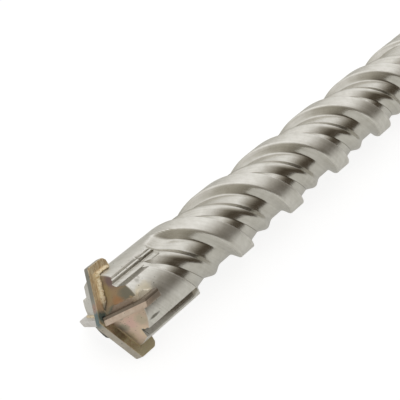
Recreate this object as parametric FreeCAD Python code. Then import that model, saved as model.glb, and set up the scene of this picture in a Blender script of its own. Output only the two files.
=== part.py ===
import FreeCAD, Part

import math
import os

# Hammer drill bit with a four-cutter carbide head, a two-start spiral and a grooved 10 mm shank.
# All sizes are millimetres. The bit lies along X with its point at -X and its shank at +X.
# Up is +Z. Distances along the bit are counted from its point, and the finished pieces are moved
# so that X = 0 is where the shank's plain round starts.
# Angles are counted about the bit's axis, in degrees from +Y towards +Z.

# Main lengths
overall_length = 200.0
working_length = 150.0
neck_cone_length = 6.0

# Diameters
tip_diameter = 20.0
body_diameter = 15.9
shank_diameter = 10.0

# Steel face between the plates: a shallow cone that starts behind the point
face_setback = 1.95
face_slope = 0.42

# Main carbide plate, right across the head
main_plate_angle = 48.0
main_plate_thickness = 1.6
main_point_angle = 132.0
plate_seat_depth = 9.2
plate_relief_angle = 13.0
plate_corner_chamfer = 0.7

# Side carbide plates, at right angles to the main one
side_plate_thickness = 1.6
side_plate_setback = 0.6
side_point_angle = 138.0

# Braze beads at the feet of the plates
bead_height = 0.55
bead_width = 0.5
bead_start_radius = 2.2

# Spiral: two starts, right-hand, described along the axis behind the front edge of a land
flute_starts = 2
flute_pitch = 19.7
land_width = 4.9
rear_wall_run = 0.6
groove_a_run = 2.8
rib_front_run = 2.4
rib_crest_width = 1.0
rib_rear_run = 2.1
front_wall_run = 1.7
rear_wall_depth = 1.3
groove_a_depth = 1.8
rib_crest_depth = 0.95
groove_b_depth = 1.9
flute_lag_angle = 12.0
flute_start_distance = 11.9
flute_run_in_angle = 71.6
flute_run_in_depth = 5.7
flute_run_in_tilt = 10.9
flute_end_distance = 126.0
flute_run_out = 12.0
flute_run_out_depth = 2.1

# Straight dust grooves, one ahead of each plate
dust_groove_depth = 1.4
dust_groove_start_angle = 33.0
dust_groove_floor_angle = 44.0
dust_groove_wall_angle = 51.0
dust_groove_end_angle = 56.0
dust_groove_end = 17.5
dust_groove_run_out = 3.0

# Shank: two open driving slots and two closed locking grooves
shank_end_chamfer = 1.0
driving_slot_width = 3.0
driving_slot_depth = 1.6
driving_slot_length = 28.0
driving_slot_run_out = 3.0
locking_groove_radius = 2.6
locking_groove_depth = 1.25
locking_groove_length = 20.0
locking_groove_end_gap = 9.5

# Clearance by which cutting tools stand out of what they cut
overcut = 1.0

body_radius = body_diameter / 2
tip_radius = tip_diameter / 2
shank_radius = shank_diameter / 2
shank_start = working_length + neck_cone_length
flute_lead = flute_starts * flute_pitch
start_angle = 360.0 / flute_starts
side_plate_angles = {"a": main_plate_angle + 90, "b": main_plate_angle + 270}

origin = FreeCAD.Vector(0, 0, 0)
along = FreeCAD.Vector(1, 0, 0)


def radial(angle):
    """Unit vector that points out from the axis at an angle."""
    turn = math.radians(angle)
    return FreeCAD.Vector(0, math.cos(turn), math.sin(turn))


def polar(distance, radius, angle):
    """Point at a distance behind the bit's point, a radius and an angle."""
    return along * distance + radial(angle) * radius


def turned(shape, angle):
    """Copy of a shape turned about the bit's axis."""
    copy = shape.copy()
    copy.rotate(origin, along, angle)
    return copy


def polygon_face(points):
    return Part.Face(Part.makePolygon(points + points[:1]))


def angled_block(angle, start, end, low, high, near, far):
    """Block beside the axis: low to high along the angle, near to far at right angles to it."""
    corners = [(low, near), (high, near), (high, far), (low, far)]
    out = radial(angle)
    across = radial(angle + 90)
    points = [along * start + out * u + across * v for u, v in corners]
    return polygon_face(points).extrude(along * (end - start))


def steel_blank():
    """Turned bar: face cone, round body, neck cone and shank."""
    face_rim = face_setback + face_slope * body_radius
    outline = [
        (face_setback, 0),
        (face_rim, body_radius),
        (working_length, body_radius),
        (shank_start, shank_radius),
        (overall_length - shank_end_chamfer, shank_radius),
        (overall_length, shank_radius - shank_end_chamfer),
        (overall_length, 0),
    ]
    half = polygon_face([FreeCAD.Vector(x, y, 0) for x, y in outline])
    return half.revolve(origin, along, 360)


def land_edge_angle(distance):
    """Angle of the first land's front edge at a distance behind the point."""
    return main_plate_angle - flute_lag_angle + 360 * distance / flute_lead


def flute_section(distance):
    """Cross-section of one start's channel: two walls, groove A, the rib and groove B."""
    outside = body_radius + overcut
    rear_wall_reach = rear_wall_run * overcut / rear_wall_depth
    front_wall_reach = front_wall_run * overcut / groove_b_depth
    groove_a_start = land_width + rear_wall_run
    groove_a_end = groove_a_start + groove_a_run
    crest_start = groove_a_end + rib_front_run
    crest_end = crest_start + rib_crest_width
    groove_b_start = crest_end + rib_rear_run
    groove_b_end = flute_pitch - front_wall_run
    outline = [
        (land_width - rear_wall_reach, outside),
        (groove_a_start, body_radius - rear_wall_depth),
        (groove_a_end, body_radius - groove_a_depth),
        (crest_start, body_radius - rib_crest_depth),
        (crest_end, body_radius - rib_crest_depth),
        (groove_b_start, body_radius - groove_b_depth),
        ((groove_b_start + groove_b_end) / 2, body_radius - groove_b_depth),
        (groove_b_end, body_radius - groove_b_depth),
        (flute_pitch + front_wall_reach, outside),
    ]
    points = []
    for behind_edge, radius in outline:
        points.append(polar(distance, radius, land_edge_angle(distance - behind_edge)))
    middle_behind = (outline[0][0] + outline[-1][0]) / 2
    middle = polar(distance, outside, land_edge_angle(distance - middle_behind))
    edges = [Part.LineSegment(a, b).toShape() for a, b in zip(points, points[1:])]
    edges.append(Part.Arc(points[-1], middle, points[0]).toShape())
    return Part.Wire(edges)


def twisted(section, start, end):
    """Solid swept along the axis by a section that turns once in each lead."""
    spine = Part.Wire([Part.LineSegment(along * start, along * end).toShape()])
    guide = Part.makeHelix(flute_lead, end - start, body_radius)
    guide.rotate(origin, FreeCAD.Vector(0, 1, 0), 90)
    guide.translate(along * start)
    sweep = Part.BRepOffsetAPI.MakePipeShell(spine)
    sweep.setAuxiliarySpine(Part.Wire(guide.Edges), True, 0)
    sweep.add(section, False, False)
    sweep.build()
    sweep.makeSolid()
    return sweep.shape()


def flute_channel():
    """Cutting tool of one start, with a flat ramp at its front end and a cone at its rear end."""
    channel = twisted(flute_section(flute_start_distance), flute_start_distance, flute_end_distance)
    run_in_angle = main_plate_angle + flute_run_in_angle
    run_in_end = flute_start_distance + flute_pitch
    ramp = body_radius - flute_run_in_depth
    far = 2 * tip_radius
    run_in = angled_block(run_in_angle, 0, run_in_end, -far, ramp, -far, 0)
    run_in.rotate(along * run_in_end, radial(run_in_angle + 90), -flute_run_in_tilt)
    run_out_start = flute_end_distance - flute_run_out
    deepest = body_radius - flute_run_out_depth
    run_out = Part.makeCone(deepest, body_radius, flute_run_out, along * run_out_start, along)
    return channel.cut(run_in).cut(run_out)


def dust_groove(plate_angle):
    """Milled straight groove ahead of a plate, with a sloped run-out at its rear end."""
    outside = body_radius + overcut
    floor = body_radius - dust_groove_depth
    slope_reach = (dust_groove_floor_angle - dust_groove_start_angle) * overcut / dust_groove_depth
    wall_reach = (dust_groove_end_angle - dust_groove_wall_angle) * overcut / dust_groove_depth
    outline = [
        (outside, dust_groove_start_angle - slope_reach),
        (floor, dust_groove_floor_angle),
        (floor, dust_groove_wall_angle),
        (outside, dust_groove_end_angle + wall_reach),
    ]
    section = polygon_face([polar(0, radius, plate_angle - ahead) for radius, ahead in outline])
    middle = (dust_groove_floor_angle + dust_groove_wall_angle) / 2
    lift = radial(plate_angle - middle) * (dust_groove_depth + overcut)
    straight = section.extrude(along * dust_groove_end)
    section.translate(along * dust_groove_end)
    ramp = section.extrude(along * dust_groove_run_out + lift)
    return straight.fuse(ramp)


def plate_seat(angle, thickness, inner):
    """Block that fills a plate's slot, from an inner distance off the axis outwards."""
    half = thickness / 2
    outside = tip_radius + overcut
    return angled_block(angle, 0, plate_seat_depth, inner, outside, -half, half)


def plate_roof(angle, point_angle, setback):
    """Two sloping cutting faces that meet in a ridge, skewed by the relief angle."""
    slope = 1 / math.tan(math.radians(point_angle / 2))
    relief = math.tan(math.radians(plate_relief_angle))
    steepness = math.hypot(slope, relief)
    skew = math.degrees(math.atan2(relief, slope))
    reach = 2 * tip_radius
    across = radial(angle - skew)
    ridge = radial(angle - skew + 90)
    deep = setback + steepness * reach + plate_seat_depth
    outline = [
        (setback, 0),
        (setback + steepness * reach, reach),
        (deep, reach),
        (deep, -reach),
        (setback + steepness * reach, -reach),
    ]
    points = [along * x + across * u - ridge * reach for x, u in outline]
    return polygon_face(points).extrude(ridge * 2 * reach)


def plate_round():
    """Ground outside of the plates, with their rear corners taken off."""
    chamfer_start = plate_seat_depth - plate_corner_chamfer
    outline = [
        (0, 0),
        (0, tip_radius),
        (chamfer_start, tip_radius),
        (plate_seat_depth, tip_radius - plate_corner_chamfer),
        (plate_seat_depth, 0),
    ]
    half = polygon_face([FreeCAD.Vector(x, y, 0) for x, y in outline])
    return half.revolve(origin, along, 360)


def main_plate():
    seat = plate_seat(main_plate_angle, main_plate_thickness, -tip_radius - overcut)
    roof = plate_roof(main_plate_angle, main_point_angle, 0)
    return seat.common(roof).common(plate_round())


def side_plate(angle):
    """Short plate that butts against the main one."""
    seat = plate_seat(angle, side_plate_thickness, main_plate_thickness / 2)
    roof = plate_roof(angle, side_point_angle, side_plate_setback)
    return seat.common(roof).common(plate_round())


def plate_beads(angle, thickness, pieces):
    """Braze beads on both sides of one half plate: down the face cone and along the round."""
    out = radial(angle)
    face_rim = face_setback + face_slope * body_radius
    foot = thickness / 2
    toe = foot + bead_width
    face_start = along * (face_setback + face_slope * bead_start_radius) + out * bead_start_radius
    face_run = (out + along * face_slope) * (body_radius - bead_start_radius)
    round_start = along * (face_rim - bead_height)
    round_run = along * (plate_seat_depth - face_rim + bead_height)
    beads = []
    for side in (-1, 1):
        across = radial(angle + 90) * side
        outline = [(foot, -bead_height), (toe, 0), (toe, overcut), (foot, overcut)]
        points = [face_start + along * x + across * v for v, x in outline]
        on_face = polygon_face(points).extrude(face_run)
        outline = [(foot, bead_height), (toe, 0), (toe, -overcut), (foot, -overcut)]
        points = [round_start + out * (body_radius + u) + across * v for v, u in outline]
        on_round = polygon_face(points).extrude(round_run)
        beads.append(on_face.fuse(on_round).cut(pieces))
    return beads


def driving_slot(angle):
    """Slot that is open at the shank's rear end and runs out at its front end."""
    half = driving_slot_width / 2
    floor = shank_radius - driving_slot_depth
    outside = shank_radius + overcut
    out = radial(angle)
    across = radial(angle + 90)
    corners = [(floor, -half), (outside, -half), (outside, half), (floor, half)]
    front = along * (overall_length - driving_slot_length)
    section = polygon_face([front + out * u + across * v for u, v in corners])
    straight = section.extrude(along * (driving_slot_length + overcut))
    lift = out * (driving_slot_depth + overcut)
    return straight.fuse(section.extrude(lift - along * driving_slot_run_out))


def locking_groove(angle):
    """Closed groove with ball-shaped ends."""
    rear = overall_length - locking_groove_end_gap - locking_groove_radius
    front = overall_length - locking_groove_end_gap - locking_groove_length + locking_groove_radius
    centre = shank_radius - locking_groove_depth + locking_groove_radius
    out = radial(angle) * centre
    groove = Part.makeCylinder(locking_groove_radius, rear - front, out + along * front, along)
    for end in (front, rear):
        groove = groove.fuse(Part.makeSphere(locking_groove_radius, out + along * end))
    return groove


def steel_body():
    steel = steel_blank()
    channel = flute_channel()
    for start in range(flute_starts):
        steel = steel.cut(turned(channel, start * start_angle))
    for quarter in range(4):
        steel = steel.cut(dust_groove(main_plate_angle + quarter * 90))
    steel = steel.cut(plate_seat(main_plate_angle, main_plate_thickness, -tip_radius - overcut))
    for angle in side_plate_angles.values():
        steel = steel.cut(plate_seat(angle, side_plate_thickness, main_plate_thickness / 2))
    for side in (0, 180):
        steel = steel.cut(driving_slot(90 + side))
        steel = steel.cut(locking_groove(side))
    return steel


def export(name, shape):
    """Move a finished piece to the shank's origin and write it."""
    placed = shape.copy()
    placed.translate(along * -shank_start)
    placed.exportStep("parts/" + name + ".step")
    print(name, placed.isValid(), len(placed.Solids), round(placed.Volume, 3))


os.makedirs("parts", exist_ok=True)

steel = steel_body()
main = main_plate()
sides = {name: side_plate(angle) for name, angle in side_plate_angles.items()}
carbide = [main] + list(sides.values())

export("steel_body", steel)
export("main_carbide_plate", main)
for name, plate in sides.items():
    export("side_carbide_plate_" + name, plate)

pieces = [steel] + carbide
main_beads = []
for angle in (main_plate_angle, main_plate_angle + 180):
    main_beads += plate_beads(angle, main_plate_thickness, pieces)
export("braze_main_plate", Part.makeCompound(main_beads))
for name, angle in side_plate_angles.items():
    side_beads = plate_beads(angle, side_plate_thickness, pieces)
    export("braze_side_plate_" + name, Part.makeCompound(side_beads))
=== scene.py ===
# %% [markdown]
# # A hammer drill bit with a four-cutter head
# The bit lies on a pale table. Its steel bar was turned and milled in one piece and then blasted,
# and its head carries carbide plates that are brazed into slots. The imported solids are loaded
# first. They give the place and the size of every piece, in metres, with X along the bit.

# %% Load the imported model
import math

import bmesh
import bpy
import numpy as np
from mathutils import Matrix, Vector, noise


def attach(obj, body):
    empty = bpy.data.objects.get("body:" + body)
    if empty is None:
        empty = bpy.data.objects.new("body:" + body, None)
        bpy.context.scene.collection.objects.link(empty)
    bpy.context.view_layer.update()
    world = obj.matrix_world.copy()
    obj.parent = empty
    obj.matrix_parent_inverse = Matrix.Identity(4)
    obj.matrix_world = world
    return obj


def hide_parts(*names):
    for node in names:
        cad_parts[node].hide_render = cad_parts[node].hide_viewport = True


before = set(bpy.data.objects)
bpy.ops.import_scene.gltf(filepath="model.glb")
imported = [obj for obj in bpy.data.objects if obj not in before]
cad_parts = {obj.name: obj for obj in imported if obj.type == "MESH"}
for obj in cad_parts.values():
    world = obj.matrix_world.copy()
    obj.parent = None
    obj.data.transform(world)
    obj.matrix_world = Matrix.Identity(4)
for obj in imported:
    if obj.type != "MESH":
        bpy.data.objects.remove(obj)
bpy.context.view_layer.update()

print("nodes:", sorted(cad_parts))

# %% [markdown]
# ## Sizes
# Workshop drawings use millimetres, so all sizes below do too, counted along the bit from its
# point. One factor turns them into Blender's metres when a mesh is made. Angles are degrees about
# the bit's axis, from +Y up to +Z.

# %% Sizes of the bit
MM = 0.001
POINT_X = -156.0  # the point's place in the frame
BODY_RADIUS = 7.95
SHANK_RADIUS = 5.0
BODY_END = 150.0
NECK_END = 156.0
SHANK_END = 200.0
SHANK_CHAMFER = 1.0
FACE_START = 1.95  # the steel face starts behind the plates' point
FACE_SLOPE = 0.42  # and falls back this much per millimetre outwards
PITCH = 19.7  # from one land of the spiral to the next
STARTS = 2
LEAD = PITCH * STARTS
MAIN_ANGLE = 48.0  # the upper half of the main plate
LAG_ANGLE = 12.0  # from that plate back to the first land's front edge
TURN = 360.0

print("lead of the spiral:", LEAD, "mm")

# %% [markdown]
# ## Small helpers
# Every piece is a mesh made in code. The bar, its cutters and the beads of filler are all rows of
# cross-sections, so one helper lists the faces of such a tube. The last one gives a finished piece
# its material, hangs it from the bit's root and hides the solid that it stands for.

# %% Mesh helpers
def tube_faces(rings, size):
    """Faces around a row of rings that have the same number of corners."""
    return [(i * size + j, i * size + (j + 1) % size,
             (i + 1) * size + (j + 1) % size, (i + 1) * size + j)
            for i in range(rings - 1) for j in range(size)]


def end_faces(rings, size):
    """The two faces that close a tube."""
    return [tuple(reversed(range(size))), tuple((rings - 1) * size + j for j in range(size))]


def shade(mesh, sharp_angle):
    """Smooth shading with crisp edges above an angle."""
    mesh.shade_smooth()
    mesh.set_sharp_from_angle(angle=math.radians(sharp_angle))


def new_piece(name, data):
    piece = bpy.data.objects.new(name, data)
    bpy.context.scene.collection.objects.link(piece)
    return piece


def mesh_piece(name, corners, faces, sharp_angle=30.0):
    """Object from corners in millimetres behind the point."""
    points = np.asarray(corners, float)
    points = (points + (POINT_X, 0.0, 0.0)) * MM
    mesh = bpy.data.meshes.new(name)
    mesh.from_pydata([tuple(p) for p in points], [], faces)
    mesh.validate()
    shade(mesh, sharp_angle)
    return new_piece(name, mesh)


def face_out(piece):
    """Make all faces of a closed piece look outwards."""
    shape = bmesh.new()
    shape.from_mesh(piece.data)
    bmesh.ops.recalc_face_normals(shape, faces=shape.faces)
    shape.to_mesh(piece.data)
    shape.free()
    return piece


def dress(piece, material, node):
    """Put a finished piece on the bit in place of its solid."""
    piece.data.materials.clear()
    piece.data.materials.append(material)
    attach(piece, "root")
    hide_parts(node)
    print(piece.name, len(piece.data.polygons), "faces")


print("faces of a closed box:", len(tube_faces(2, 4) + end_faces(2, 4)))

# %% [markdown]
# ## The steel bar
# The real bar starts as a turned blank: a shallow cone at the head, a long round, a neck and the
# shank. Its two-start spiral then has the same cross-section everywhere, only turned. A mesh whose
# columns follow the spiral draws each edge of the flutes as one clean line of faces, which a
# straight grid can't do, so the bar is made of rings whose corners turn with the spiral.

# %% Cross-section of one flute
LAND_WIDTH = 4.9
FLUTE_CORNERS = [
    # (behind the land's front edge, depth, length of the rounded corner)
    (LAND_WIDTH, 0.0, 0.22),
    (5.5, 1.3, 0.35),
    (8.3, 1.8, 0.12),
    (10.7, 0.95, 0.5),
    (11.7, 0.95, 0.5),
    (13.8, 1.9, 0.6),
    (18.0, 1.9, 0.4),
]
EDGE_ROUND = 0.2  # round along the land's front edge
EDGE_SHARE = 0.35  # share of that round's depth at the edge itself
WIDEST_COLUMN = 0.30
MOST_OF_RUN = 0.48  # a corner's curve takes less than half of a run


def rounded_profile(corners, start, end, steps=5):
    """Points along a line with each corner turned into a short curve."""
    line = [start] + [(u, d) for u, d, _ in corners] + [end]
    points = [start]
    for before, corner, after, size in zip(line, line[1:], line[2:], [c[2] for c in corners]):
        b, c, a = (np.array(p) for p in (before, corner, after))
        enter = c + (b - c) * min(size / np.linalg.norm(b - c), MOST_OF_RUN)
        leave = c + (a - c) * min(size / np.linalg.norm(a - c), MOST_OF_RUN)
        for t in np.linspace(0, 1, steps):
            curve = enter * (1 - t) ** 2 + c * 2 * t * (1 - t) + leave * t * t
            points.append(tuple(curve))
    points.append(end)
    return points


def filled(points):
    """The same line with its long runs divided."""
    out = [points[0]]
    for a, b in zip(points, points[1:]):
        parts = max(1, math.ceil((b[0] - a[0]) / WIDEST_COLUMN))
        for k in range(1, parts + 1):
            out.append((a[0] + (b[0] - a[0]) * k / parts, a[1] + (b[1] - a[1]) * k / parts))
    return out


profile = filled(rounded_profile(FLUTE_CORNERS, (EDGE_ROUND, 0.0),
                                 (PITCH - EDGE_ROUND, EDGE_ROUND)))
behind = np.array([u for u, _ in profile] + [PITCH])
depth = np.array([d for _, d in profile] + [EDGE_ROUND * EDGE_SHARE])
behind_all = np.concatenate([behind + k * PITCH for k in range(STARTS)])
depth_all = np.tile(depth, STARTS)
owner = np.repeat(np.arange(STARTS), len(behind))
print("columns around the bar:", len(behind_all))

# %% [markdown]
# The flutes start with a blunt edge at the front of each land. On the other side the cutter swings
# in from above, so each groove begins as a shallow tip and deepens along the spiral. The profile
# is lifted there, and what would stand above the round is left out. Before the neck the flutes
# rise slowly.

# %% Depth of the flutes
FLUTE_START = 11.9
START_WALL_SLOPE = 4.0
FLUTE_END = 126.0
RUN_OUT = 12.0
FULL_DEPTH = 2.1
CAMERA_SIDE = 124.6  # angle of the side that the camera looks at
FADE_PLACES = (12.5, 21.5)  # between these, the tips' place moves
FADE_ANGLES = (49.0, 63.0)  # degrees above the camera's side at which a tip starts
FADE_SPAN = 28.0  # degrees over which it deepens
FADE_DONE = 25.0
SEAM = 140.0  # where the count of degrees starts again
SOFT = 0.12  # round between a groove's wall and the bar


def land_edge(distance):
    """Angle of the first land's front edge."""
    return MAIN_ANGLE - LAG_ANGLE + TURN * distance / LEAD


def soft_min(a, b, size):
    """Smaller of two values, with a round where they cross."""
    h = np.clip(0.5 + 0.5 * (b - a) / size, 0, 1)
    return b + (a - b) * h - size * h * (1 - h)


def flute_depth(distance, angles):
    """Depth at one ring, for each column of the two flutes."""
    limit = min(FULL_DEPTH, (FLUTE_END - distance) * FULL_DEPTH / RUN_OUT,
                (distance - FLUTE_START) * START_WALL_SLOPE)
    found = soft_min(depth_all, max(limit, 0), SOFT)
    if distance < FADE_DONE:
        above = (CAMERA_SIDE - angles + owner * TURN / STARTS + SEAM) % TURN - SEAM
        to_end = np.interp(distance, FADE_PLACES, FADE_ANGLES) - above
        lift = FULL_DEPTH * (1 - np.clip(to_end / FADE_SPAN, 0, 1)) ** 2
        found = -soft_min(lift - found, 0, np.clip(lift, 0.001, SOFT))
    return np.maximum(found, 0)


halfway = (FLUTE_START + FLUTE_END) / 2
print("deepest, halfway:", flute_depth(halfway, land_edge(halfway) - behind_all).max().round(2))

# %% [markdown]
# The rings lie closer together where the shape changes fast.

# %% Rings of the bar
FACE_RIM = FACE_START + FACE_SLOPE * BODY_RADIUS
RIM_ROUND = 0.14
RIM_STEP, RIM_DROP = 0.02, 0.04  # the middle corner of the rim's round
SHANK_REAR = SHANK_END - SHANK_CHAMFER
RING_RUNS = [
    # (from, to, step)
    (FACE_RIM + RIM_ROUND, 11.6, 0.5),
    (11.6, 13.0, 0.12),
    (13.0, 25.0, 0.18),
    (25.0, 113.0, 0.5),
    (113.0, 128.0, 0.4),
    (128.0, BODY_END, 1.5),
    (BODY_END, NECK_END, 0.75),
    (NECK_END, SHANK_REAR, 1.0),
]


def blank_radius(distance):
    """Radius of the turned blank."""
    knots = [FACE_START, FACE_RIM - FACE_SLOPE * RIM_ROUND, FACE_RIM + RIM_STEP,
             FACE_RIM + RIM_ROUND, BODY_END, NECK_END, SHANK_REAR, SHANK_END]
    radii = [0.0, BODY_RADIUS - RIM_ROUND, BODY_RADIUS - RIM_DROP, BODY_RADIUS, BODY_RADIUS,
             SHANK_RADIUS, SHANK_RADIUS, SHANK_RADIUS - SHANK_CHAMFER]
    return float(np.interp(distance, knots, radii))


rings = [FACE_START + FACE_SLOPE * r for r in np.linspace(0.4, BODY_RADIUS - RIM_ROUND, 20)]
rings.append(FACE_RIM + RIM_STEP)
for run in RING_RUNS:
    rings.extend(np.arange(*run))
rings += [SHANK_REAR, SHANK_END]
print("rings of the bar:", len(rings))

# %% [markdown]
# Hardened and blasted steel is never quite true. An unevenness of a few hundredths of a
# millimetre makes the light run along the flutes in slightly wavy bands.

# %% Skin of the bar
WAVE = 0.035
WAVE_LENGTH = 4.5

corners = []
for x in rings:
    angles = land_edge(min(max(x, FACE_RIM), FLUTE_END)) - behind_all * TURN / LEAD
    radius = np.full(len(angles), blank_radius(x))
    if FLUTE_START < x < FLUTE_END:
        radius -= flute_depth(x, angles)
    turn = np.radians(angles)
    ring = np.column_stack([np.full(len(angles), x), radius * np.cos(turn), radius * np.sin(turn)])
    if FACE_RIM < x < BODY_END:
        wave = np.array([noise.noise(Vector(p) / WAVE_LENGTH) for p in ring])
        ring[:, 1:] *= (1 - WAVE * (0.5 + 0.5 * wave) / radius)[:, None]
    corners.append(ring)
count = len(behind_all)
faces = tube_faces(len(rings), count)
centre = len(rings) * count
last = centre - count
for j in range(count):
    k = (j + 1) % count
    faces += [(centre, k, j), (centre + 1, last + j, last + k)]
corners.append([[FACE_START, 0, 0], [SHANK_END, 0, 0]])
bar = mesh_piece("spiral_bar", np.concatenate(corners), faces)
print("bar:", len(bar.data.polygons), "faces")

# %% [markdown]
# ## Slots and grooves
# The slots for the plates, the four straight dust grooves and the shank's grooves are milled into
# the bar, so here they are cut out of it too, with boolean modifiers that are applied at once.
# Each cutter is a tube through a few cross-sections.

# %% Cutter helpers
def prism(name, sections):
    """Closed cutter through a row of cross-sections."""
    size = (len(sections), len(sections[0]))
    points = [p for section in sections for p in section]
    ends = [face[::-1] for face in end_faces(*size)]
    return face_out(mesh_piece(name, points, tube_faces(*size) + ends))


def polar(distance, radius, angle):
    """Point at a distance behind the bit's point, a radius and an angle."""
    turn = math.radians(angle)
    return (distance, radius * math.cos(turn), radius * math.sin(turn))


def block(distance, angle, corners_uv):
    """Cross-section given by distances along an angle and across it."""
    _, out_y, out_z = polar(0, 1, angle)
    return [(distance, out_y * u - out_z * v, out_z * u + out_y * v) for u, v in corners_uv]


def box(low, high, half_width):
    """Corners of a rectangle along an angle."""
    return [(low, -half_width), (high, -half_width), (high, half_width), (low, half_width)]


def cut(piece, cutters):
    """Take cutters out of a piece, one after another."""
    for cutter in cutters:
        modifier = piece.modifiers.new("cut", "BOOLEAN")
        modifier.operation = "DIFFERENCE"
        modifier.solver = "EXACT"
        modifier.object = cutter
        graph = bpy.context.evaluated_depsgraph_get()
        done = bpy.data.meshes.new_from_object(piece.evaluated_get(graph))
        piece.modifiers.clear()
        old = piece.data
        piece.data = done
        bpy.data.meshes.remove(old)
    for cutter in cutters:
        bpy.data.objects.remove(cutter)


print("a point on the body's +Y side:", polar(20, BODY_RADIUS, 0))

# %% [markdown]
# A dust groove runs straight back from the head, just ahead of each plate. It has a sloping side,
# a flat floor and a steep wall with a narrow ledge, which makes the light and dark lines behind
# the head. The one ahead of the main plate's lower half is narrower and a little longer.

# %% Dust grooves and plate seats
OVERCUT = 1.0  # how far each cutter stands out of the bar
DUST_DEPTH = 1.4
DUST_RADIUS = 7.2  # radius at which degrees and millimetres agree
DUST_SLOPE_START = 33.6
DUST_CORNERS = [
    # (degrees ahead of the plate, depth, length of the rounded corner)
    (43.8, DUST_DEPTH, 0.25),
    (54.0, DUST_DEPTH, 0.1),
    (54.4, 0.68, 0.08),
    (57.2, 0.6, 0.08),
]
DUST_WALL_END = 57.6
DUST_END = 17.5
DUST_RUN_OUT = 3.0
DUST_CHANGES = ((0, 0), (0, 0), (7.5, 3.0), (0, 0))  # (degrees narrower, longer) per plate
PLATE_THICKNESS = 1.6
SEAT_DEPTH = 9.2
SIDE_SEAT_START = 0.4  # a side seat starts inside the main one
SEAT_REACH = 12.0


def dust_cutter(plate_angle, narrower, longer):
    """Straight cutter of one dust groove, which lifts out at its end."""
    per_degree = math.radians(DUST_RADIUS)
    first, last = DUST_CORNERS[0], DUST_CORNERS[-1]
    start = DUST_SLOPE_START - (first[0] - DUST_SLOPE_START) * OVERCUT / first[1]
    end = DUST_WALL_END + (DUST_WALL_END - last[0]) * OVERCUT / last[1]
    corners = [(a * per_degree, d, size) for a, d, size in [first] + [
        (a - narrower, d, size) for a, d, size in DUST_CORNERS[1:]]]
    shape = rounded_profile(corners, (start * per_degree, -OVERCUT),
                            ((end - narrower) * per_degree, -OVERCUT))
    shape = [(BODY_RADIUS - d, u / per_degree) for u, d in shape]
    lift_angle = plate_angle - (first[0] + last[0]) / 2
    sections = []
    stop = DUST_END + longer
    for x, lift in ((0.0, 0.0), (stop, 0.0), (stop + DUST_RUN_OUT, DUST_DEPTH + OVERCUT)):
        shift = np.array(polar(0, lift, lift_angle))
        sections.append([tuple(np.array(polar(x, r, plate_angle - a)) + shift) for r, a in shape])
    return prism("dust_cutter", sections)


def seat_cutter(angle, inner):
    """Cutter as thick as a plate, from one side of the axis outwards."""
    outline = box(inner, SEAT_REACH, PLATE_THICKNESS / 2)
    return prism("seat_cutter", [block(x, angle, outline) for x in (0.0, SEAT_DEPTH)])


head_cutters = [dust_cutter(MAIN_ANGLE + 90 * k, *change) for k, change in enumerate(DUST_CHANGES)]
head_cutters.append(seat_cutter(MAIN_ANGLE, -SEAT_REACH))
head_cutters += [seat_cutter(MAIN_ANGLE + side, SIDE_SEAT_START) for side in (90, 270)]
print("cutters at the head:", len(head_cutters))

# %% [markdown]
# The photograph ends in the spiral, so the shank is finished as such shanks are. Two open slots
# take the driving keys of the tool holder, and two closed grooves take its locking balls, so the
# cutter of these is a rod with ball ends.

# %% Shank grooves
SLOT_WIDTH = 3.0
SLOT_DEPTH = 1.6
SLOT_LENGTH = 28.0
SLOT_RUN_OUT = 3.0
LOCK_RADIUS = 2.6
LOCK_DEPTH = 1.25
LOCK_LENGTH = 20.0
LOCK_END_GAP = 9.5
LOCK_CENTRE = SHANK_RADIUS - LOCK_DEPTH + LOCK_RADIUS
LOCK_TILT = 88.0  # a ball end stops just short of its pole
LOCK_STEPS = 10
LOCK_SIDES = 32


def slot_cutter(angle):
    """Cutter of an open driving slot, which rises at its front end."""
    floor, top = SHANK_RADIUS - SLOT_DEPTH, SHANK_RADIUS + OVERCUT
    outline = box(floor, top, SLOT_WIDTH / 2)
    lifted = [(u + top - floor, v) for u, v in outline]
    start = SHANK_END - SLOT_LENGTH
    return prism("driving_cutter", [block(start - SLOT_RUN_OUT, angle, lifted),
                                    block(start, angle, outline),
                                    block(SHANK_END + OVERCUT, angle, outline)])


def lock_cutter(angle):
    """Ball-ended cutter of a locking groove."""
    rear = SHANK_END - LOCK_END_GAP
    sections = []
    for end, x0, tilts in ((-1, rear - LOCK_LENGTH + LOCK_RADIUS, (LOCK_TILT, 0)),
                           (1, rear - LOCK_RADIUS, (0, LOCK_TILT))):
        for tilt in np.linspace(*tilts, LOCK_STEPS):
            radius = LOCK_RADIUS * math.cos(math.radians(tilt))
            x = x0 + end * LOCK_RADIUS * math.sin(math.radians(tilt))
            outline = [(LOCK_CENTRE + radius * math.cos(t), radius * math.sin(t))
                       for t in np.linspace(0, 2 * math.pi, LOCK_SIDES, endpoint=False)]
            sections.append(block(x, angle, outline))
    return prism("locking_cutter", sections)


cut(bar, head_cutters + [slot_cutter(angle) for angle in (90, 270)]
    + [lock_cutter(angle) for angle in (0, 180)])
shade(bar.data, 28)
print("bar after milling:", len(bar.data.polygons), "faces")

# %% [markdown]
# ## Materials
# Colours are chosen as sRGB hex values, as a picker shows them, and one function turns them into
# the linear values that the shader needs. One other function adds a node with its settings and
# links, so that a material reads as a short list of steps.

# %% Material helpers
def colour(code):
    """Linear colour from an sRGB hex value."""
    values = [int(code[i:i + 2], 16) / 255 for i in (1, 3, 5)]
    return [v / 12.92 if v <= 0.04045 else ((v + 0.055) / 1.055) ** 2.4 for v in values] + [1.0]


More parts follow.
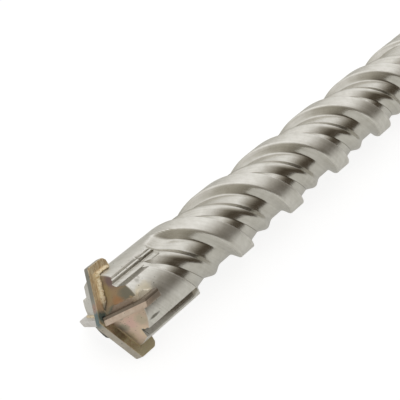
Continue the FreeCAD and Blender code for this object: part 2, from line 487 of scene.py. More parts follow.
def add(tree, kind, links=None, out=0, stops=None, **settings):
    """Add a node with its settings, its inputs and, on a ramp, its stops; give one output."""
    node = tree.nodes.new("ShaderNode" + kind)
    for name, value in settings.items():
        setattr(node, name, value)
    for socket, value in (links or {}).items():
        if isinstance(value, bpy.types.NodeSocket):
            tree.links.new(value, node.inputs[socket])
        else:
            node.inputs[socket].default_value = value
    if stops:
        ramp = node.color_ramp
        while len(ramp.elements) < len(stops):
            ramp.elements.new(0.5)
        for element, (place, value) in zip(ramp.elements, stops):
            element.position = place
            element.color = value
    return node.outputs[out] if len(node.outputs) else node


def new_material(name):
    material = bpy.data.materials.new(name)
    material.use_nodes = True
    tree = material.node_tree
    tree.nodes.clear()
    return material, tree


print("middle grey, linear:", [round(v, 3) for v in colour("#808080")])

# %% [markdown]
# Stains, specks and the marks of milling all need a place on the object. It is taken in
# millimetres, so each stain is a spot with a real centre and size, and each pattern gets the real
# size of its grains.

# %% Layers that every finish uses
COLOUR = 2  # the colour output of a Mix node


def place_mm(tree):
    """Place on the surface, in millimetres behind the point."""
    place = add(tree, "TexCoord", out="Object")
    scaled = add(tree, "VectorMath", {0: place, "Scale": 1 / MM}, operation="SCALE")
    return add(tree, "VectorMath", {0: scaled, 1: (-POINT_X, 0, 0)}, operation="ADD")


def uneven(tree, place, grain_mm, amount_mm):
    """Place that is pushed about by noise, which makes the edges of stains ragged."""
    push = add(tree, "TexNoise", {"Vector": place, "Scale": 1 / grain_mm, "Detail": 4.0},
               out="Color")
    centred = add(tree, "VectorMath", {0: push, 1: (0.5, 0.5, 0.5)}, operation="SUBTRACT")
    return add(tree, "VectorMath", {0: centred, 1: (amount_mm,) * 3, 2: place},
               operation="MULTIPLY_ADD")


def on_bit(distance, above, radius):
    """Point on the bit: millimetres behind its point, degrees above the camera's side, radius."""
    return polar(distance, radius, CAMERA_SIDE - above)


def spot(tree, place, where, strength):
    """Mask that is full at a point of the bit and fades out at about its length and width."""
    distance, above, radius, long, wide = where
    away = add(tree, "VectorMath", {0: place, 1: on_bit(distance, above, radius)},
               operation="SUBTRACT")
    scaled = add(tree, "VectorMath", {0: away, 1: (long, wide, wide)}, operation="DIVIDE")
    length = add(tree, "VectorMath", {0: scaled}, out="Value", operation="LENGTH")
    return add(tree, "MapRange", {"Value": length, "From Min": 1.3, "From Max": 0.6,
                                  "To Max": strength})


def stained(tree, base, place, stains):
    """Base colour with stains, painted shade and painted highlight laid over it."""
    for *where, code, strength in stains:
        mask = spot(tree, place, where, strength)
        base = add(tree, "Mix", {0: mask, 6: base, 7: colour(code)}, out=COLOUR, data_type="RGBA")
    return base


def specked(tree, base, place, spacing_mm, share, size, code, where=None):
    """Base colour with small dark pits: some of the cells of a pattern get one."""
    distance = add(tree, "TexVoronoi", {"Vector": place, "Scale": 1 / spacing_mm})
    picked = add(tree, "SeparateColor", {0: distance.node.outputs["Color"]})
    chosen = add(tree, "Math", {0: picked, 1: share}, operation="LESS_THAN")
    near = add(tree, "MapRange", {"Value": distance, "From Min": size, "From Max": size * 0.4})
    pit = add(tree, "Math", {0: near, 1: chosen}, operation="MULTIPLY")
    if where is not None:
        pit = add(tree, "Math", {0: pit, 1: where}, operation="MULTIPLY")
    return add(tree, "Mix", {0: pit, 6: base, 7: colour(code)}, out=COLOUR, data_type="RGBA")


def blotches(tree, place, size_mm, stops):
    """Blotchy colour from a list of (place, sRGB colour) stops."""
    pattern = add(tree, "TexNoise", {"Vector": place, "Scale": 1 / size_mm, "Detail": 7.0,
                                     "Roughness": 0.65})
    return add(tree, "ValToRGB", {"Fac": pattern},
               stops=[(p, colour(c)) for p, c in stops])


print("a point that faces the camera:", [round(v, 2) for v in on_bit(20, 0, BODY_RADIUS)])

# %% [markdown]
# ## Blasted tool steel
# The bar is alloy steel that was milled, hardened and then blasted with fine grit. Blasting leaves
# an even satin skin with small pits, so what lies at full radius gets a roughness of 0.31 and a
# fine bump. The flutes are smoother, at 0.18, so they mirror light and dark more sharply, with
# faint streaks along the spiral. Heat from brazing left brown, purple and grey-green oxide on the
# head's face, which is dull. Each stain of the photograph is written down one by one.

# %% Stains, painted shade and painted highlight on the steel
# (behind the point, degrees above the camera's side, radius, length, width, colour, strength)
FACE_STAINS_AND_SHADE = [
    (4.4, 30, 5.2, 2.2, 4.2, "#a88f70", 0.95),
    (4.9, 44, 7.4, 1.6, 1.7, "#84706f", 0.9),
    (3.4, 58, 5.0, 1.6, 1.8, "#ab986e", 0.8),
    (4.6, 10, 6.8, 1.4, 1.8, "#7d7c6f", 0.85),
    (3.8, 12, 4.4, 1.0, 1.3, "#b08159", 0.7),
    (4.8, -4, 6.6, 1.2, 0.9, "#d6b88c", 0.8),
    (4.2, -58, 5.2, 2.6, 4.6, "#e6cdbb", 0.9),
    (3.6, -48, 4.6, 1.2, 1.1, "#e4bfb6", 0.7),
    (4.8, -40, 6.6, 1.4, 1.2, "#bfb79f", 0.7),
    (5.0, -62, 7.2, 1.4, 1.3, "#ecdabb", 0.6),
    (3.2, -70, 3.4, 1.4, 1.1, "#9b9b88", 0.75),
    (4.0, -88, 5.6, 1.6, 1.3, "#c9bd9b", 0.6),
    (2.8, -4, 3.0, 1.3, 1.6, "#4a6664", 0.9),
    (2.9, 8, 2.7, 0.6, 0.5, "#161b1b", 0.95),
    # Painted shade: a dark patch below the head, where the face mirrors the table in the bit's
    # shadow
    (4.2, -148, 5.4, 3.0, 5.0, "#333234", 0.95),
    (4.2, 124, 5.6, 3.2, 4.8, "#dad8d3", 0.95),
]
# A thin film of filler that ran out over the round beside the side plate, cream partly in its
# own colour and partly as painted highlight
FILM = (7.3, -1.5, BODY_RADIUS, 2.4, 1.3)
ROUND_STAINS_AND_HIGHLIGHT = [
    (*FILM, "#f1e8d2", 0.9),
    (6.2, -9, BODY_RADIUS, 1.3, 0.7, "#b0956a", 0.7),
]
# A dark oval mark below the side plate and two faint rubs above it
ROUND_MARKS = [
    (7.2, -41, BODY_RADIUS, 1.45, 0.34, "#5f5b4d", 0.85),
    (7.8, 14.5, BODY_RADIUS, 0.5, 0.42, "#8b867b", 0.5),
    (8.6, 17.0, BODY_RADIUS, 0.3, 0.4, "#8b867b", 0.4),
]
print("stains on the steel:", len(FACE_STAINS_AND_SHADE + ROUND_STAINS_AND_HIGHLIGHT + ROUND_MARKS))

# %% [markdown]
# The masks of the steel finish come from where the surface is: its radius tells the blasted skin
# from the flutes, the direction that it faces tells the head's face, and its place turned back by
# the spiral tells the thin line of painted shade at the foot of the low rib.

# %% Masks of the steel
SKIN_RADIUS = (7.6, 7.8)  # the skin starts between these
FACE_TILT = (-0.75, -0.88)  # and the head's face looks this much forwards
HEAD_END = (15.0, 11.0)  # the head's own finish fades out between these
CREASE_BEHIND = FLUTE_CORNERS[2][0]
CREASE_WIDTH = 0.11


def unwound(tree, place):
    """Place turned back by the spiral, so that a flute stays at one angle."""
    axes = add(tree, "SeparateXYZ", {0: place})
    turn = add(tree, "Math", {0: axes, 1: -2 * math.pi / LEAD}, operation="MULTIPLY")
    return add(tree, "VectorRotate", {"Vector": place, "Angle": turn}, rotation_type="X_AXIS")


def steel_masks(tree, place):
    """Masks of the head, of the skin at full radius, of what is below it and of the face."""
    axes = add(tree, "SeparateXYZ", {0: place})
    head = add(tree, "MapRange", {"Value": axes, "From Min": HEAD_END[0], "From Max": HEAD_END[1]})
    flat_place = add(tree, "VectorMath", {0: place, 1: (0, 1, 1)}, operation="MULTIPLY")
    radius = add(tree, "VectorMath", {0: flat_place}, out="Value", operation="LENGTH")
    skin = add(tree, "MapRange", {"Value": radius, "From Min": SKIN_RADIUS[0],
                                  "From Max": SKIN_RADIUS[1]})
    below = add(tree, "Math", {0: 1.0, 1: skin}, operation="SUBTRACT")
    facing = add(tree, "TexCoord", out="Normal")
    slant = add(tree, "SeparateXYZ", {0: facing})
    face = add(tree, "MapRange", {"Value": slant, "From Min": FACE_TILT[0],
                                  "From Max": FACE_TILT[1]})
    return head, skin, below, face


def painted_crease_shade(tree, straight, below):
    """Mask of the thin line of painted shade at the foot of the rib, below full radius only."""
    line = math.radians(MAIN_ANGLE - LAG_ANGLE - CREASE_BEHIND * TURN / LEAD)
    off = add(tree, "VectorMath", {0: straight, 1: (0, -math.sin(line), math.cos(line))},
              out="Value", operation="DOT_PRODUCT")
    off = add(tree, "Math", {0: off}, operation="ABSOLUTE")
    near = add(tree, "MapRange", {"Value": off, "From Min": CREASE_WIDTH,
                                  "From Max": CREASE_WIDTH * 0.4, "To Max": 0.75})
    return add(tree, "Math", {0: near, 1: below}, operation="MULTIPLY")


print("the crease lies", CREASE_BEHIND, "mm behind a land's front edge")

# %% [markdown]
# The colour is laid on in layers: pale satin steel, streaks, the stains and marks on the round
# with the painted highlight on its film of filler, a grey darkening below full radius, pits and a
# thin line of painted shade at the foot of the rib. The oxide colours of the face, with their own
# specks and a patch of painted shade, replace it all where the face mask is full.

# %% Steel colours
def steel_colour(tree, place, straight, streaks, masks):
    """Colour of the steel, and the mask of the film of filler on its round."""
    head, _, below, face = masks
    ragged = uneven(tree, place, 1.1, 1.5)
    frayed = uneven(tree, place, 0.35, 0.35)
    tone = blotches(tree, place, 1.7, [(0.3, "#d6d3cb"), (0.7, "#eae8e2")])
    streaked = add(tree, "MapRange", {"Value": streaks, "From Min": 0.62, "From Max": 0.3,
                                      "To Max": 0.25})
    tone = add(tree, "Mix", {0: streaked, 6: tone, 7: colour("#a9a598")}, out=COLOUR,
               data_type="RGBA")
    tone = stained(tree, tone, ragged, ROUND_STAINS_AND_HIGHLIGHT)
    tone = stained(tree, tone, frayed, ROUND_MARKS)
    # What lies below the skin is darkened three tenths of the way to grey, a tenth at the head
    more = add(tree, "Math", {0: head, 1: -0.2, 2: 0.3}, operation="MULTIPLY_ADD")
    darker_below = add(tree, "Math", {0: below, 1: more}, operation="MULTIPLY")
    tone = add(tree, "Mix", {0: darker_below, 6: tone, 7: colour("#9b968a")}, out=COLOUR, data_type="RGBA")
    tone = specked(tree, tone, frayed, 0.8, 0.35, 0.18, "#77706a", head)
    # Painted shade: a thin dark line in the crease at the foot of the rib
    crease = painted_crease_shade(tree, straight, below)
    tone = add(tree, "Mix", {0: crease, 6: tone, 7: colour("#57503f")}, out=COLOUR,
               data_type="RGBA")
    baked = blotches(tree, place, 1.5, [(0.35, "#9f927b"), (0.6, "#bcb09b")])
    baked = stained(tree, baked, ragged, FACE_STAINS_AND_SHADE)
    baked = specked(tree, baked, frayed, 0.42, 0.4, 0.22, "#7b6c55")
    tone = add(tree, "Mix", {0: face, 6: tone, 7: baked}, out=COLOUR, data_type="RGBA")
    return tone, spot(tree, ragged, FILM, 0.9)


print("on the round:", len(ROUND_STAINS_AND_HIGHLIGHT), "stains and", len(ROUND_MARKS), "marks")

# %% [markdown]
# Roughness and metallic follow the same masks: mirror-like flutes, a satin skin and a dull oxide
# face. The film of filler is hardly metallic, because flux lies on it. The grit's pits are about
# 0.05 mm wide, too fine for the picture, so they are drawn at 0.3 mm.

# %% Steel finish
GRIT_MM = 0.3125
STREAK_MM = (16.67, 0.667, 0.667)  # length and width of a streak
FLUTE_ROUGH, HEAD_ROUGH, SKIN_ROUGH, FACE_ROUGH = 0.18, 0.28, 0.31, 0.5
SKIN_METAL, FACE_METAL, FILM_METAL = 0.88, 0.75, 0.2


def blasted_steel():
    """Satin steel that mirrors softly, with brighter flutes and a burnt, dull face."""
    material, tree = new_material("blasted_tool_steel")
    place = place_mm(tree)
    straight = unwound(tree, place)
    squeezed = add(tree, "VectorMath", {0: straight, 1: STREAK_MM}, operation="DIVIDE")
    streaks = add(tree, "TexNoise", {"Vector": squeezed, "Scale": 1.0, "Detail": 3.0})
    masks = steel_masks(tree, place)
    head, skin, _, face = masks
    tone, film = steel_colour(tree, place, straight, streaks, masks)

    smooth = add(tree, "MapRange", {"Value": head, "To Min": FLUTE_ROUGH, "To Max": HEAD_ROUGH})
    rough = add(tree, "Mix", {0: skin, 2: smooth, 3: SKIN_ROUGH})
    rough = add(tree, "Math", {0: streaks, 1: 0.1, 2: rough}, operation="MULTIPLY_ADD")
    rough = add(tree, "Mix", {0: face, 2: rough, 3: FACE_ROUGH})
    metal = add(tree, "MapRange", {"Value": skin, "To Min": 1.0, "To Max": SKIN_METAL})
    metal = add(tree, "Mix", {0: face, 2: metal, 3: FACE_METAL})
    metal = add(tree, "Mix", {0: film, 2: metal, 3: FILM_METAL})

    # The head is more deeply pitted than the spiral
    grain = add(tree, "TexNoise", {"Vector": place, "Scale": 1 / GRIT_MM, "Detail": 4.0})
    relief = add(tree, "Math", {0: head, 1: 0.35, 2: 0.15}, operation="MULTIPLY_ADD")
    bump = add(tree, "Bump", {"Height": grain, "Strength": relief, "Distance": 0.05 * MM})
    surface = add(tree, "BsdfPrincipled", {"Base Color": tone, "Metallic": metal,
                                           "Roughness": rough, "Normal": bump})
    add(tree, "OutputMaterial", {"Surface": surface})
    return material


dress(bar, blasted_steel(), "steel_body")

# %% [markdown]
# ## Carbide plates
# The plates are sintered tungsten carbide, ground to shape. Their edges are sharp but never
# perfect, so each plate is a copy of its solid with a very narrow bevel. The edges that run
# through its thickness are rounded more, the most on the far side plate.

# %% Plates with narrow bevels
def direction(angle):
    """Unit vector out from the axis at an angle."""
    return polar(0.0, 1.0, angle)


def sharp_edges(shape, degrees, along=None):
    """Edges that fold by more than an angle, all of them or those that run along a direction."""
    edges = [e for e in shape.edges
             if e.is_manifold and e.calc_face_angle() > math.radians(degrees)]
    if along is None:
        return edges
    return [e for e in edges
            if abs((e.verts[0].co - e.verts[1].co).normalized().dot(along)) > 0.9]


def bevelled_copy(node, name, angle, corner, edge):
    """Copy of the solid of a plate that stands at an angle, with its corners and edges eased."""
    shape = bmesh.new()
    shape.from_mesh(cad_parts[node].data)
    bmesh.ops.remove_doubles(shape, verts=shape.verts, dist=0.002 * MM)
    bmesh.ops.dissolve_limit(shape, angle_limit=math.radians(1), verts=shape.verts,
                             edges=shape.edges)
    ends = sharp_edges(shape, 20, Vector(direction(angle + 90)))
    bmesh.ops.bevel(shape, geom=ends, offset=corner * MM, segments=4, profile=0.5,
                    affect="EDGES")
    bmesh.ops.bevel(shape, geom=sharp_edges(shape, 30), offset=edge * MM, segments=2,
                    profile=0.5, affect="EDGES")
    mesh = bpy.data.meshes.new(name)
    shape.to_mesh(mesh)
    shape.free()
    shade(mesh, 25)
    return new_piece(name, mesh)


main_plate = bevelled_copy("main_carbide_plate", "main_cutting_plate", MAIN_ANGLE, 0.28, 0.09)
side_plate_a = bevelled_copy("side_carbide_plate_a", "side_cutting_plate_a", MAIN_ANGLE + 90,
                             0.12, 0.09)
side_plate_b = bevelled_copy("side_carbide_plate_b", "side_cutting_plate_b", MAIN_ANGLE + 270,
                             0.4, 0.22)
print("corners of the main plate:", len(main_plate.data.vertices))

# %% [markdown]
# Ground carbide is a grey, slightly warm metal. A thin film of copper-coloured filler has flowed
# over the near face of the long plate. On the upper half it was drawn out along the edge, and on
# the lower half it is blotchy. The sloping top of the near side plate has a darker strip.

# %% Layers of the carbide finish
NEAR_FACE = PLATE_THICKNESS / 2 - 0.1  # the near face's colours start this far from the middle
NEAR_METAL = 0.5  # the film is less metallic than
GROUND_METAL = 0.85  # the ground carbide


def drawn_out(tree, place, angle, share):
    """Place squeezed along the head's slope, so that patterns run along the plate's edge."""
    stretch = math.hypot(1, FACE_SLOPE)
    along = Vector(direction(angle)) / stretch + Vector((FACE_SLOPE / stretch, 0, 0))
    length = add(tree, "VectorMath", {0: place, 1: along}, out="Value", operation="DOT_PRODUCT")
    part = add(tree, "VectorMath", {0: along, "Scale": length}, operation="SCALE")
    return add(tree, "VectorMath", {0: part, 1: (-share,) * 3, 2: place}, operation="MULTIPLY_ADD")


def near_face(tree, place, ragged, tone, upper, lower):
    """Colour and metallic with the film of filler on the near face."""
    across = add(tree, "VectorMath", {0: place, 1: direction(MAIN_ANGLE + 90)}, out="Value",
                 operation="DOT_PRODUCT")
    near = add(tree, "MapRange", {"Value": across, "From Min": NEAR_FACE,
                                  "From Max": NEAR_FACE + 0.06})
    along = add(tree, "VectorMath", {0: place, 1: direction(MAIN_ANGLE)}, out="Value",
                operation="DOT_PRODUCT")
    outer = add(tree, "MapRange", {"Value": along, "From Min": -0.6, "From Max": 0.6})
    drawn = drawn_out(tree, place, MAIN_ANGLE, 0.85)
    side = add(tree, "Mix", {0: outer, 6: blotches(tree, place, 0.8, lower),
                             7: blotches(tree, drawn, 0.5, upper)}, out=COLOUR, data_type="RGBA")
    side = stained(tree, side, ragged, CENTRE_STAINS)
    tone = add(tree, "Mix", {0: near, 6: tone, 7: side}, out=COLOUR, data_type="RGBA")
    metal = add(tree, "MapRange", {"Value": near, "To Min": GROUND_METAL, "To Max": NEAR_METAL})
    return tone, metal


CENTRE_STAINS = [
    (1.4, 40, 1.4, 1.3, 1.3, "#4f6867", 0.9),
    (2.2, 60, 3.0, 1.2, 1.2, "#d9b99a", 0.7),
    (3.0, -103.4, 3.6, 2.2, 1.8, "#5f5039", 0.65),
    (1.4, 20, 1.0, 0.5, 0.5, "#1d2222", 0.9),
    (7.6, -103.4, 9.2, 5.0, 2.2, "#e0d7b4", 0.65),
]
print("stains on the near face:", len(CENTRE_STAINS))

# %% [markdown]
# Grinding marks on carbide are only about 0.02 mm wide, so they are drawn at a third of a
# millimetre, as a faint unevenness of the ground surface. A few dark pits lie in all of it.

# %% Carbide finish
GRIND_MM = 1 / 3
MAIN_STAINS = [
    (3.2, 76.6, 6.6, 3.5, 3.9, "#92928a", 0.9),
    (0.4, 66, 1.1, 1.6, 1.7, "#64797c", 0.9),
    (1.4, 76.6, 3.0, 0.9, 0.9, "#b89686", 0.75),
]
# Painted shade on the outer end of the near side plate
SIDE_END_SHADE = [(8.4, -13.4, 10.0, 2.6, 1.6, "#a8a096", 0.7)]
UPPER_SIDE = [(0.32, "#b39469"), (0.43, "#d8bd95"), (0.5, "#f6e9cc"), (0.57, "#c8ab82"),
              (0.68, "#eedcba")]
LOWER_SIDE = [(0.32, "#8b7e60"), (0.43, "#c2b792"), (0.5, "#ad8c79"), (0.57, "#d2caa6"),
              (0.68, "#a59a7b")]


def carbide(name, ground, stains, near_side=None, top_strip=None):
    """Grey metal with a dull shine, stains or painted shade, a film on the near side and a darker
    top strip.
    """
    material, tree = new_material(name)
    place = place_mm(tree)
    ragged = uneven(tree, place, 0.7, 1.0)
    frayed = uneven(tree, place, 0.35, 0.35)
    tone = stained(tree, blotches(tree, place, 1.3, ground), ragged, stains)
    metal = GROUND_METAL
    if near_side:
        tone, metal = near_face(tree, place, ragged, tone, *near_side)
    if top_strip:
        angle, edge, code = top_strip
        along = add(tree, "VectorMath", {0: place, 1: direction(angle)}, out="Value",
                    operation="DOT_PRODUCT")
        above = add(tree, "MapRange", {"Value": along, "From Min": edge, "From Max": edge + 0.05,
                                       "To Max": 0.9})
        tone = add(tree, "Mix", {0: above, 6: tone, 7: colour(code)}, out=COLOUR, data_type="RGBA")
    tone = specked(tree, tone, frayed, 0.6, 0.3, 0.22, "#57503f")
    grain = add(tree, "TexNoise", {"Vector": place, "Scale": 1 / GRIND_MM, "Detail": 5.0})
    bump = add(tree, "Bump", {"Height": grain, "Strength": 0.5, "Distance": 0.06 * MM})
    surface = add(tree, "BsdfPrincipled", {"Base Color": tone, "Metallic": metal,
                                           "Roughness": 0.45, "Normal": bump})
    add(tree, "OutputMaterial", {"Surface": surface})
    return material


dress(main_plate,
      carbide("ground_carbide_with_copper_film", [(0.35, "#b9b1a4"), (0.65, "#cac3b8")],
              MAIN_STAINS, near_side=(UPPER_SIDE, LOWER_SIDE)), "main_carbide_plate")
dress(side_plate_a,
      carbide("ground_carbide_warm", [(0.35, "#c8b2a0"), (0.65, "#dccbbb")], SIDE_END_SHADE,
              top_strip=(MAIN_ANGLE, 0.25, "#776c5f")), "side_carbide_plate_a")
dress(side_plate_b,
      carbide("ground_carbide_plain", [(0.35, "#dbd7d3"), (0.65, "#e6e3e0")], []),
      "side_carbide_plate_b")

# %% [markdown]
# ## Brazing filler
# Molten filler was drawn along the foot of each plate and froze in small lumps. So each bead is
# a row of rounded cross-sections whose height and width wander, with the same pattern every
# time.

# %% Cross-section of a bead
BEAD_SINK = 0.12  # how deep its foot lies in the steel and the plate
BULGE_WAVE = 0.08
ARC_POINTS = 9


def lumps(s, seed, wavelength):
    """Smooth wandering value along a bead, from about -1 to 1."""
    return (noise.noise(Vector((s / wavelength, seed, 0.0)))
            + 0.45 * noise.noise(Vector((s / wavelength * 2.7, seed, 5.0))))


def bead_outline(s, height, width, seed):
    """Cross-section of a bead: (away from the plate, above the steel)."""
    outline = [(-BEAD_SINK, -BEAD_SINK), (-BEAD_SINK, height * 0.9)]
    for k in range(ARC_POINTS):
        turn = math.radians(90 - k * 90 / (ARC_POINTS - 1))
        bulge = 1 + BULGE_WAVE * noise.noise(Vector((s * 2.6, k * 0.6, seed)))
        outline.append((width * math.cos(turn) * bulge, height * math.sin(turn) * bulge))
    return outline + [(width * 0.8, -BEAD_SINK)]


print("corners of a cross-section:", len(bead_outline(0, 1, 1, 0)))

# %% [markdown]
# A bead starts near the point, runs out over the head's face, turns over its rim and ends on the
# round. Beside one plate it spreads there.

# %% Path of a bead
BEAD_FIRST = 1.6  # radius at which a bead starts
BEAD_STEPS = 90
BEAD_SIZE = (BEAD_STEPS, ARC_POINTS + 3)
BEAD_SHORT = 0.15  # it ends this far before the end of the seat
RIM_TURN = 0.5  # length over which it turns from the face to the round
TAPER = (1.6, 1.2)  # lengths over which its two ends grow to full size
HEIGHT_WAVE = (0.16, 0.8)  # share of the height that wanders, and how often in millimetres
WIDTH_WAVE = (0.22, 0.9)
FLARE_AHEAD = 0.8  # a wide bead starts to spread this far before the rim
FLARE_LENGTH = 3.6


def bead(angle, side, height, width, flare, seed):
    """Corners of one bead along half a plate: down the face and back along the round."""
    out = np.array(direction(angle))
    across = np.array(direction(angle + 90)) * side
    ahead = np.array([1.0, 0.0, 0.0])
    stretch = math.hypot(1, FACE_SLOPE)
    face_normal = (out * FACE_SLOPE - ahead) / stretch
    face_length = (BODY_RADIUS - BEAD_FIRST) * stretch
    total = face_length + SEAT_DEPTH - FACE_RIM - BEAD_SHORT
    points = []
    for s in np.linspace(0, total, BEAD_STEPS):
        radius = BEAD_FIRST + min(s, face_length) / stretch
        past = max(s - face_length, 0.0)
        foot = ahead * (FACE_START + FACE_SLOPE * radius + past) + out * radius
        turned = np.clip((s - face_length) / RIM_TURN + 0.5, 0, 1)
        normal = face_normal * (1 - turned) + out * turned
        normal /= np.linalg.norm(normal)
        ends = min(1.0, (s + 0.1) / TAPER[0], (total - s + 0.1) / TAPER[1])
        bell = math.sin(math.pi * np.clip((past + FLARE_AHEAD) / FLARE_LENGTH, 0, 1)) ** 2
        h = height * (1 + HEIGHT_WAVE[0] * lumps(s, seed, HEIGHT_WAVE[1])) * ends
        w = width * (1 + (flare - 1) * bell)
        w = w * (1 + WIDTH_WAVE[0] * lumps(s, seed + 9, WIDTH_WAVE[1])) * ends
        corner = foot + across * (PLATE_THICKNESS / 2)
        outline = bead_outline(s, h, w, seed)
        points += [corner + across * v + normal * n for v, n in outline]
    return points


print("length of a bead on the round:", round(SEAT_DEPTH - FACE_RIM - BEAD_SHORT, 2), "mm")

# %% [markdown]
# The filler is a copper alloy that looks like pale, tarnished gold, brown between its lumps. It is
# less than half metallic, because flux and oxide cover much of it. The ripples of the frozen metal
# are about half a millimetre long.

# %% Filler finish
RIPPLE_MM = 0.4545
FILLER_STAINS_AND_HIGHLIGHT = [
    (2.0, 30, 2.0, 1.6, 1.7, "#4f6462", 0.9),
    (5.0, -103.4, 5.0, 6.0, 5.5, "#b3a283", 0.85),
    # Partly the filler's own cream and partly painted highlight, where it spreads on the round
    (7.0, -5, 8.1, 2.4, 1.6, "#f7f0de", 0.9),
    (3.0, -13.4, 5.0, 3.3, 4.6, "#8c796b", 0.9),
]
BEADS = {
    # (angle, side of the plate, height, width, how much wider on the round)
    "braze_main_plate": [(MAIN_ANGLE, 1, 0.6, 1.05, 0.8), (MAIN_ANGLE, -1, 0.4, 0.4, 1.0),
                         (MAIN_ANGLE + 180, 1, 0.4, 0.4, 1.0),
                         (MAIN_ANGLE + 180, -1, 0.1, 0.35, 1.0)],
    "braze_side_plate_a": [(MAIN_ANGLE + 90, 1, 0.2, 0.3, 1.0),
                           (MAIN_ANGLE + 90, -1, 0.18, 0.6, 2.6)],
    "braze_side_plate_b": [(MAIN_ANGLE + 270, 1, 0.35, 0.35, 1.0),
                           (MAIN_ANGLE + 270, -1, 0.35, 0.35, 1.0)],
}


def filler():
    """Pale gold with a soft shine, brown in its hollows and dull where heat stained it."""
    material, tree = new_material("frozen_copper_filler")
    place = place_mm(tree)
    ragged = uneven(tree, place, 0.8, 0.9)
    frayed = uneven(tree, place, 0.35, 0.35)
    tone = blotches(tree, place, 0.9, [(0.32, "#a98a5c"), (0.42, "#dac398"), (0.52, "#f3e5c6"),
                                       (0.66, "#c4a679")])
    tone = stained(tree, tone, ragged, FILLER_STAINS_AND_HIGHLIGHT)
    tone = specked(tree, tone, frayed, 0.5, 0.3, 0.25, "#5a4a33")
    grain = add(tree, "TexNoise", {"Vector": place, "Scale": 1 / RIPPLE_MM, "Detail": 5.0})
    bump = add(tree, "Bump", {"Height": grain, "Strength": 0.6, "Distance": 0.1 * MM})
    surface = add(tree, "BsdfPrincipled", {"Base Color": tone, "Metallic": 0.4, "Roughness": 0.34,
                                           "Normal": bump})
    add(tree, "OutputMaterial", {"Surface": surface})
    return material


filler_finish = filler()
one_bead = tube_faces(*BEAD_SIZE) + end_faces(*BEAD_SIZE)
for number, (node, sides) in enumerate(BEADS.items()):
    points, faces = [], []
    for k, values in enumerate(sides):
        faces += [tuple(len(points) + i for i in face) for face in one_bead]
        points += bead(*values, seed=number * 7.0 + k * 3.0)
    piece = mesh_piece(node.replace("braze", "filler"), points, faces, 60.0)
    dress(face_out(piece), filler_finish, node)

# %% [markdown]
# ## Table
# The photograph's sheet is pure white, with only a faint shadow under the bit. So the sheet that
# the camera sees is partly a white glow and partly matt paper, which keeps the shadow. The steel
# mirrors a sheet that is bright near the bit and greyer beyond it, so all other rays see that.

# %% Table
FLOOR_Z = -BODY_RADIUS * MM
TABLE_HALF = 3.0  # metres
GREYER = (0.015, 0.05)  # metres beyond the bit at which the sheet turns greyer
SHARE_OF_GLOW = (0.45, 0.75)  # for other rays, and for those from the camera
GLOW = (1.05, 1.2)

table_mesh = bpy.data.meshes.new("table")
table_mesh.from_pydata([(x * TABLE_HALF, y * TABLE_HALF, FLOOR_Z)
                        for x, y in ((-1, -1), (1, -1), (1, 1), (-1, 1))], [], [(0, 1, 2, 3)])
table = new_piece("table", table_mesh)
paper, tree = new_material("white_paper")
seen = add(tree, "LightPath", out="Is Camera Ray")
at_table = add(tree, "TexCoord", out="Object")
across_table = add(tree, "SeparateXYZ", {0: at_table}, out="Y")
beyond = add(tree, "MapRange", {"Value": across_table, "From Min": GREYER[0],
                                "From Max": GREYER[1]})
sheet = add(tree, "Mix", {0: beyond, 6: colour("#e8e8e5"), 7: colour("#c2c1bc")}, out=COLOUR,
            data_type="RGBA")
tone = add(tree, "Mix", {0: seen, 6: sheet, 7: colour("#fafafa")}, out=COLOUR, data_type="RGBA")
share = add(tree, "MapRange", {"Value": seen, "To Min": SHARE_OF_GLOW[0],
                               "To Max": SHARE_OF_GLOW[1]})
strength = add(tree, "MapRange", {"Value": seen, "To Min": GLOW[0], "To Max": GLOW[1]})
matt = add(tree, "BsdfDiffuse", {"Color": tone})
glow = add(tree, "Emission", {"Color": tone, "Strength": strength})
both = add(tree, "MixShader", {0: share, 1: matt, 2: glow})
add(tree, "OutputMaterial", {"Surface": both})
table.data.materials.append(paper)
print("table at", round(FLOOR_Z / MM, 2), "mm")

# %% [markdown]
# ## Light
# Metal shows what is around it more than what shines on it. The photograph's steel is bright where
# it mirrors the light overhead and dark brown where it mirrors the room behind the camera. So the
# world is a soft white studio, at a strength near 1, with a dim warm side behind the camera, and
# there are no lamps. To the left, where the spiral's walls look, the room is only a little darker,
# and far to the right its dark side starts later. The camera sees plain white, but glossy rays
# don't: steel that mirrored white everywhere would have no shape.

# %% World
SKY = [
    # (degrees around the bit's axis, from the far horizon over the top, colour, strength)
    (-60, "#96958f", 1.0),
    (-12, "#b8b7b2", 1.0),
    (10, "#cdccc7", 1.0),
    (34, "#f0efec", 1.0),
    (60, "#ffffff", 1.03),
    (84, "#ffffff", 1.15),
    (100, "#ffffff", 1.1),
    (114, "#e2e0dc", 1.0),
    (134, "#9a9489", 1.0),
    (150, "#4d4438", 1.0),
    (180, "#4d4438", 1.0),
]
LEFT = [
    (-60, "#96958f", 1.0),
    (0, "#d6d5d1", 1.0),
    (34, "#f0efec", 1.0),
    (80, "#e0ded9", 1.0),
    (105, "#c6c3ba", 1.0),
    (144, "#bcb8ad", 1.0),
    (180, "#8a8478", 1.0),
]
LEFT_END = (-0.2, -0.45)  # X of the direction, from the middle part to the left one
RIGHT_END = (0.72, 0.88)  # and to the right one,
RIGHT_TURN = 18.0  # whose dark side starts this many degrees later

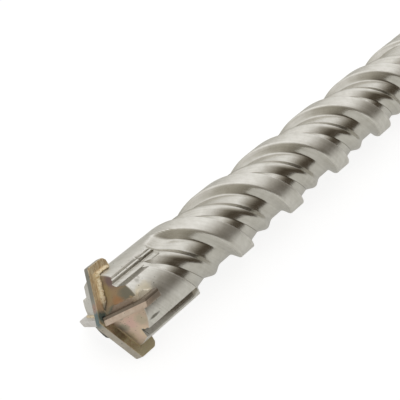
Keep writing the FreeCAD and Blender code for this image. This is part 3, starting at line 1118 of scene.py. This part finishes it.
world = bpy.data.worlds.new("studio")
bpy.context.scene.world = world
world.use_nodes = True
tree = world.node_tree
tree.nodes.clear()
ray_y = add(tree, "SeparateXYZ", {0: add(tree, "TexCoord", out="Generated")}, out="Y")
ray_x, ray_z = ray_y.node.outputs["X"], ray_y.node.outputs["Z"]
around = add(tree, "Math", {0: ray_z, 1: ray_y}, operation="ARCTAN2")
to_right = add(tree, "MapRange", {"Value": ray_x, "From Min": RIGHT_END[0],
                                  "From Max": RIGHT_END[1], "To Max": math.radians(RIGHT_TURN)})
camera_half = add(tree, "Math", {0: around, 1: math.pi / 2}, operation="GREATER_THAN")
around = add(tree, "Math", {0: to_right, 1: camera_half, 2: around}, operation="MULTIPLY_ADD")
along_ramp = add(tree, "MapRange", {"Value": around, "From Min": -math.pi, "From Max": math.pi})
middle, left = [add(tree, "ValToRGB", {"Fac": along_ramp},
                    stops=[((a + 180) / TURN, [v * k for v in colour(c)]) for a, c, k in part])
                for part in (SKY, LEFT)]
to_left = add(tree, "MapRange", {"Value": ray_x, "From Min": LEFT_END[0], "From Max": LEFT_END[1]})
room = add(tree, "Mix", {0: to_left, 6: middle, 7: left}, out=COLOUR, data_type="RGBA")
seen = add(tree, "LightPath", out="Is Camera Ray")
view = add(tree, "Mix", {0: seen, 6: room, 7: (1, 1, 1, 1)}, out=COLOUR, data_type="RGBA")
sky = add(tree, "Background", {"Color": view, "Strength": 1.0})
add(tree, "OutputWorld", {"Surface": sky})
print("stops of the studio:", len(SKY), "and", len(LEFT))

# %% [markdown]
# ## Camera
# The camera was found by laying the edges of the plates and the lands over the photograph. Its
# focal length is given in pixels of the square picture.

# %% Camera
CAMERA_AT = Vector((-316.15, -119.89, 173.79)) * MM
RIGHT = Vector((0.5666, -0.8215, 0.0641))
UP = Vector((0.4518, 0.3748, 0.8096))
FOCAL_PIXELS = 1417.87
IMAGE_SIZE = 400
SENSOR = 36.0

camera_data = bpy.data.cameras.new("photo_camera")
camera_data.sensor_width = SENSOR
camera_data.lens = FOCAL_PIXELS / IMAGE_SIZE * SENSOR
camera_data.clip_start = 0.01
camera = new_piece("photo_camera", camera_data)
right = RIGHT.normalized()
up = (UP - right * UP.dot(right)).normalized()
axes = Matrix((right, up, right.cross(up))).transposed().to_4x4()
camera.matrix_world = Matrix.Translation(CAMERA_AT) @ axes
bpy.context.scene.camera = camera
bpy.context.scene.view_settings.view_transform = "Standard"
print("lens:", round(camera_data.lens, 1), "mm")
